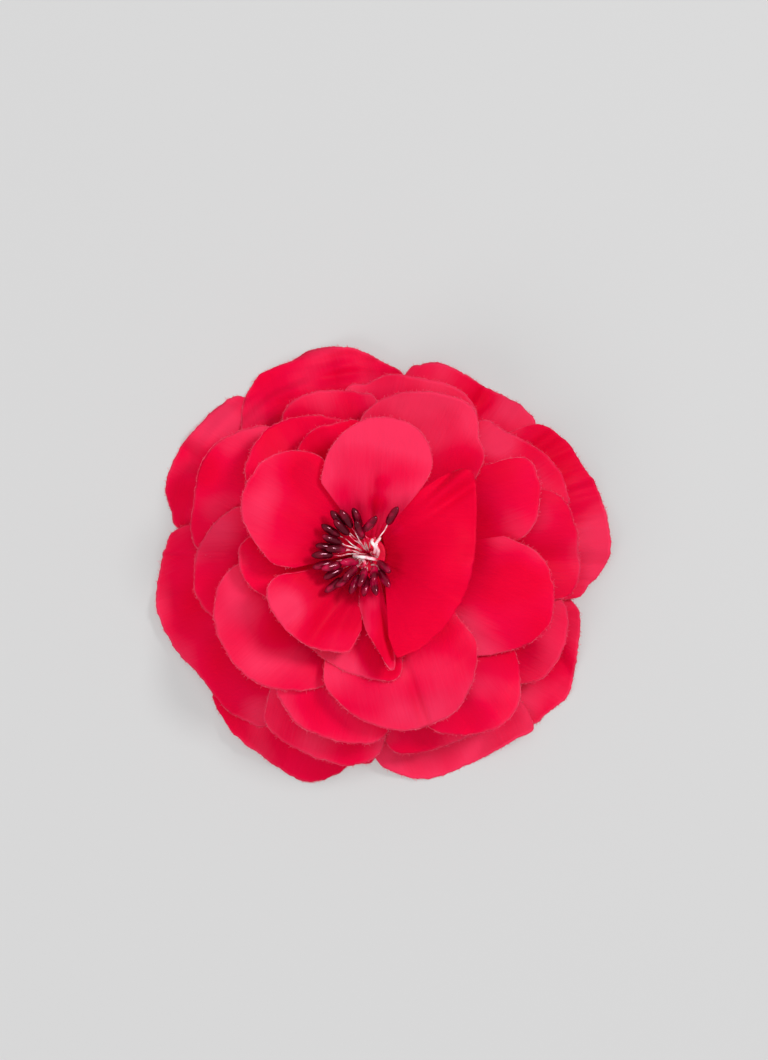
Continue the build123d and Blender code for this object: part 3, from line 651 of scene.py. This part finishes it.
def petal_tone(petal, seed, x, y, along):
    """How pale the satin is, from 0 to 1, with painted light and shade: more so towards the rim and
    in its paler patches, less in its shaded ones.

    It goes below 0 where painted shade makes the satin darkest.
    """
    tone = petal["tone"] - TONE_LOWERED + BLOTCHES * noise.noise((x / 10, y / 10, seed + 9.1))
    # painted light: paler towards the rim, deeper at the foot as if shaded by the petals above
    tone += RIM_PAINTED_LIGHT * (smoothstep(0.5, 1, along) - 0.5)
    # painted light and shade in patches: lit spots paler, shaded ones deeper
    for direction, radius, size, amount in petal.get("patches", ()):
        tone += amount * exp(-(distance_from(x, y, direction, radius) / size) ** 2)
    tone = min(1.0, max(0.0, tone))
    # painted shade darkens the satin here, taking the tone below 0 where it is deepest
    for direction, radius, size, amount in PAINTED_SHADE:
        tone -= amount * exp(-(distance_from(x, y, direction, radius) / size) ** 2)
    return tone


def laid_flat(points, columns):
    """Both ends of each line of points from core to rim, once the line is pulled straight.

    A line keeps its foot and its direction seen from above, and takes its own whole length.
    """
    ends = []
    for column in range(columns):
        line = points[column::columns]
        length = sum((b - a).length for a, b in zip(line, line[1:]))
        foot = line[0].xy
        ends += [foot, foot + (line[-1].xy - foot).normalized() * length]
    return ends


def make_petal(ring, number, petal):
    """One petal: rows of faces from the core to its rim, given the cloth's thickness."""
    name = f"{ring}_petal_{number}"
    seed = 11.7 * number + 3.1 * len(ring)
    corners = [(reach * cos(radians(turn)), reach * sin(radians(turn)), 0)
               for turn, reach in petal["rim"]]
    rim = smooth_line(corners, COLUMN)
    for i, tip in enumerate(rim):
        cut = CUT_WANDER * noise.noise((i * 0.21, 0.0, seed))
        cut += CUT_NICK * noise.noise((i * 0.83, 5.0, seed))
        tip *= 1 + cut / tip.length
    middle = radians((petal["rim"][0][0] + petal["rim"][-1][0]) / 2)
    half_base = BASE_HALF_WIDTH / CORE_RADIUS
    columns = len(rim)
    rows = round(max(v.length for v in rim) / ROW)
    points, flat, tones = [], [], []
    frayed = 0 if petal.get("plain_edge") else FRAYED_TONE
    for row in range(rows + 1):
        along = row / rows
        for column, tip in enumerate(rim):
            across = 2 * column / (columns - 1) - 1
            turn = middle + half_base * across
            root = Vector((CORE_RADIUS * cos(turn), CORE_RADIUS * sin(turn), 0))
            place = root.lerp(tip, along)
            z = petal_height(ring, petal, seed, place.x, place.y, along, across)
            points.append(metres(place.x, place.y, z))
            flat.append((Matrix.Rotation(-middle, 2) @ place.xy) * MM)
            tone = petal_tone(petal, seed, place.x, place.y, along)
            tones.append(tone + frayed if row == rows else tone)
    faces = [
        (row * columns + i, (row + 1) * columns + i, (row + 1) * columns + i + 1,
         row * columns + i + 1)
        for row in range(rows) for i in range(columns - 1)
    ]
    piece = new_piece(name + "_cloth", points, faces, [SATIN, CUT_EDGE])
    mesh = piece.data
    layer = mesh.uv_layers.new(name="Cloth")
    for loop in mesh.loops:
        layer.data[loop.index].uv = flat[loop.vertex_index]
    attribute = mesh.attributes.new("tone", "FLOAT", "POINT")
    attribute.data.foreach_set("value", tones)
    thick = piece.modifiers.new("thickness", "SOLIDIFY")
    thick.thickness = CLOTH * MM
    thick.offset = 0
    thick.material_offset_rim = 0 if petal.get("plain_edge") else 1
    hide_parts(name)
    laid = [Matrix.Rotation(-middle, 2) @ end for end in laid_flat(points, columns)]
    return points[-columns:], points[-2 * columns:-columns]


def add_fray(points, faces, rim, inside, chance):
    """Loose yarns along a cut edge, and short ends that stick out of it.

    inside is the row of the petal's points next to its rim.
    """
    tangents = [(rim[min(i + 1, len(rim) - 1)] - rim[max(i - 1, 0)]).normalized()
                for i in range(len(rim))]
    out, up = [], []
    for tangent, tip, inner in zip(tangents, rim, inside):
        normal = tangent.cross(inner - tip).normalized()
        up.append(normal if normal.z > 0 else -normal)
        level = Vector((tangent.y, -tangent.x, 0))
        out.append((level - normal * level.dot(normal)).normalized())
    start = 2
    while start < len(rim) - 6:
        stop = min(len(rim) - 3, start + chance.randint(*YARN_RUN))
        bow = chance.uniform(*YARN_BOW) * MM
        line = [rim[i] + out[i] * bow * sin(pi * (i - start) / (stop - start))
                + up[i] * chance.uniform(*YARN_ABOVE) * MM for i in range(start, stop + 1)]
        add_tube(points, faces, line, chance.uniform(*YARN_RADIUS) * MM, sides=3)
        start = stop + chance.randint(*YARN_GAP)
    for step in range(4, 2 * len(rim) - 4):
        i = step // 2
        if noise.noise((i * 0.35, 0.0, len(rim) * 0.37)) < NO_ENDS_BELOW:
            continue
        lean = chance.uniform(-END_LEAN, END_LEAN)
        way = (out[i] * cos(lean) + tangents[i] * sin(lean)).normalized()
        way.z += chance.uniform(-0.3, 0.5)
        length = chance.triangular(*END_LENGTH) * MM
        bend = Vector((chance.uniform(-1, 1), chance.uniform(-1, 1), 0.3)) * length * 0.25
        foot = rim[i].lerp(rim[i + 1], chance.random()) + (up[i] - out[i]) * 0.1 * MM
        line = [foot, foot + way * length * 0.55 + bend * 0.5, foot + way * length + bend]
        add_tube(points, faces, line, chance.uniform(*END_RADIUS) * MM, sides=3)


def make_petals():
    for ring, petals in PETALS.items():
        chance = random.Random(ring)
        points, faces = [], []
        for number, petal in enumerate(petals, 1):
            rim, inside = make_petal(ring, number, petal)
            if not petal.get("plain_edge"):
                add_fray(points, faces, rim, inside, chance)
        fray = new_piece(f"{ring}_petals_fray", points, faces, [YARN])


# --- stamens -----------------------------------------------------------------------------

def pip_width(share):
    """The pip's radius along it: a long bud, blunt at both ends and fuller towards the tip."""
    from_middle = abs(2 * share ** 0.9 - 1)
    return PIP_RADIUS * MM * max(0.05, 1 - from_middle ** 2.6) ** 0.5


def make_stem():
    """The bound bundle of the stamens' threads, twisted together."""
    low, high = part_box("stamen_stem")
    bottom, top = low.z / MM, high.z / MM
    points, faces = [], []
    for count, spread in STRANDS:
        for k in range(count):
            strand = []
            for i in range(STEM_STEPS + 1):
                turn = tau * k / count + STEM_TWIST * i / STEM_STEPS
                z = bottom + (top - bottom) * i / STEM_STEPS
                strand.append(metres(spread * cos(turn), spread * sin(turn), z))
            add_tube(points, faces, strand, STRAND * MM)
    stem = new_piece("stamen_stem_strands", points, faces, [SET_GLUE])
    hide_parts("stamen_stem")


def make_stamens():
    chance = random.Random("stamens")
    threads, thread_faces, pips, pip_faces = [], [], [], []
    for number, (x, y, z) in enumerate(STAMENS):
        turn = atan2(y, x)
        spread = STEM_RADIUS * chance.uniform(0.2, 0.95)
        foot = Vector((spread * cos(turn), spread * sin(turn), STAMEN_BASE_Z - 0.3))
        middle = Vector((x, y, z))
        lean = (middle - foot).normalized()
        droop = Vector((lean.x, lean.y, lean.z * PIP_DROOP)).normalized()
        droop.rotate(Matrix.Rotation(radians(PIP_TURNS.get(number, 0)), 3, "Z"))
        near = middle - droop * PIP_LENGTH * 0.5
        rise = foot + Vector((lean.x * 0.5, lean.y * 0.5, 1.0)) * (near - foot).length * 0.5
        bow = Vector([chance.uniform(-0.5, 0.5) for _ in range(3)])
        knee = rise.lerp(near, 0.25)
        line = smooth_line([foot, knee + bow, knee.lerp(near, 0.6) - bow * 0.6, near], 0.5)
        line = [metres(*p) for p in line]
        add_tube(threads, thread_faces, line, THREAD * chance.uniform(0.85, 1.35) * MM)
        side = Vector((-droop.y, droop.x, 0)).normalized() * chance.uniform(-0.25, 0.25)
        body = []
        for ring in range(PIP_RINGS):
            share = ring / (PIP_RINGS - 1)
            body.append(middle + droop * PIP_LENGTH * (share - 0.5) + side * sin(pi * share))
        add_tube(pips, pip_faces, [metres(*p) for p in body], pip_width, sides=PIP_SIDES)
    for loop in BARE_LOOPS:
        line = [metres(*p) for p in smooth_line(loop, 0.4)]
        add_tube(threads, thread_faces, line, BARE_THREAD * MM, sides=8)
    tuft = new_piece("stamen_thread_tuft", threads, thread_faces, [GLAZED_THREAD])
    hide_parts("stamen_threads")
    buds = new_piece("stamen_pip_buds", pips, pip_faces, [LACQUER])
    tones = [0.5 + PIP_REDDER * (p.x - p.y) / MM + PIP_SHADES.get(i // PIP_POINTS, 0)
             for i, p in enumerate(pips)]
    buds.data.attributes.new("tone", "FLOAT", "POINT").data.foreach_set("value", tones)
    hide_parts("stamen_pips")


# --- backing and clip --------------------------------------------------------------------

def make_felt():
    """A felt disc with a soft, slightly uneven edge, in place of the plain one."""
    low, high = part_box("felt_backing")
    radius, bottom, top = (high.x - low.x) / 2 / MM, low.z / MM, high.z / MM
    half = (top - bottom) / 2
    profile = [(0.0, -1.0), (0.3, -1.0), (0.6, -1.0), (0.85, -1.0), (0.955, -0.98),
               (0.985, -0.7), (0.995, 0.0), (0.985, 0.7), (0.955, 0.98), (0.85, 1.0),
               (0.6, 1.0), (0.3, 1.0), (0.0, 1.0)]
    around = 120
    points, faces = [], []
    for share, side in profile:
        for k in range(around):
            turn = tau * k / around
            edge = radius * (1 - 0.012 * (1 + noise.noise((3 * cos(turn), 3 * sin(turn), 5.0))))
            x, y = share * edge * cos(turn), share * edge * sin(turn)
            z = bottom + half + side * (half - 0.04 * (1 + noise.noise((x / 2, y / 2, side))))
            points.append(metres(x, y, z))
    for i in range(len(profile) - 1):
        for k in range(around):
            a, b = i * around + k, i * around + (k + 1) % around
            faces.append((a, b, b + around, a + around))
    pad = new_piece("felt_pad", points, faces, [felt()])
    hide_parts("felt_backing")


def make_spring():
    """The torsion spring: a coil round the pin and a leg under each lever."""
    low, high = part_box("clip_pivot_pin")
    pin = (low + high) / 2 / MM
    spring_low, spring_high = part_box("clip_spring")
    wire, coil, turns = 0.3, 1.35, 3.5
    half_width = (spring_high.y - spring_low.y) / 2 / MM - wire
    leg_end = spring_high.x / MM - pin.x
    leg_rise = (spring_high.z - spring_low.z) / 2 / MM - wire
    steps = 112
    line = [Vector((leg_end, half_width, leg_rise)),
            Vector((leg_end * 0.5, half_width, (leg_rise + coil) / 2))]
    for i in range(steps + 1):
        turn = tau * turns * i / steps
        y = half_width * (1 - 2 * i / steps)
        line.append(Vector((-coil * sin(turn), y, coil * cos(turn))))
    line.append(Vector((leg_end * 0.5, -half_width, -(leg_rise + coil) / 2)))
    line.append(Vector((leg_end, -half_width, -leg_rise)))
    points, faces = [], []
    add_tube(points, faces, [(pin + p) * MM for p in line], wire * MM, sides=10)
    spring = new_piece("clip_spring_wire", points, faces, [SPRING_STEEL], body=None)
    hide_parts("clip_spring")
    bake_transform(spring)


def finish_cad_nodes():
    """Gives the frame's own pieces their materials."""
    jaws = plated_steel("clip_steel", 0.80, 0.20, 0.25)
    pin = plated_steel("pin_steel", 0.70, 0.28, 0.1)
    materials = {
        "clip_upper_jaw": jaws, "clip_lower_jaw": jaws, "clip_pivot_pin": pin,
        "glue_core": SET_GLUE,
        "base_disc": satin("stiff_net", pale=-0.2),
    }
    for name, material in materials.items():
        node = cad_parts[name]
        node.data.materials.clear()
        node.data.materials.append(material)


# --- studio ------------------------------------------------------------------------------

FRAME_TALL = 286.2                # of the floor, in the picture
LENS = 120.0
VIEW_X, VIEW_Y = 3.8, 6.5         # middle of the picture, from the flower's axis
FOCUS_Z = 6.0


def make_floor():
    side = 3.0
    corners = [(-side, -side, 0), (side, -side, 0), (side, side, 0), (-side, side, 0)]
    floor = new_piece("floor", corners, [(0, 1, 2, 3)], [plain_floor()], body=None)


def make_area_light(name, place, size, power, glossy):
    """A round soft light aimed at the flower. glossy says if it shows in reflections."""
    data = bpy.data.lights.new(name, "AREA")
    data.shape = "DISK"
    data.size, data.energy = size, power
    light = bpy.data.objects.new(name, data)
    light.visible_glossy = glossy
    light.location = Vector(place)
    light.rotation_euler = (-Vector(place)).to_track_quat("-Z", "Y").to_euler()
    bpy.context.collection.objects.link(light)


def make_studio():
    make_floor()
    make_area_light("key", (0.85, 0.55, 1.15), 0.40, 12.8, glossy=True)
    make_area_light("overhead", (-0.1, 0.2, 1.5), 1.4, 8.4, glossy=False)
    make_area_light("fill", (-0.85, -0.8, 1.0), 0.9, 8.5, glossy=False)
    world = bpy.data.worlds.new("studio")
    world.use_nodes = True
    background = world.node_tree.nodes["Background"]
    background.inputs["Color"].default_value = (1.0, 1.0, 1.0, 1)
    background.inputs["Strength"].default_value = 0.41
    scene = bpy.context.scene
    scene.world = world
    scene.view_settings.view_transform = "Standard"
    data = bpy.data.cameras.new("camera")
    data.lens, data.sensor_width = LENS, 36.0
    camera = bpy.data.objects.new("camera", data)
    up = FRAME_TALL * LENS / data.sensor_width + FOCUS_Z
    camera.location = metres(VIEW_X, VIEW_Y, up)
    bpy.context.collection.objects.link(camera)
    scene.camera = camera


SPRING_STEEL = plated_steel("spring_steel", 0.62, 0.25, 0.1)
make_petals()
make_stem()
make_stamens()
make_felt()
make_spring()
finish_cad_nodes()
make_studio()
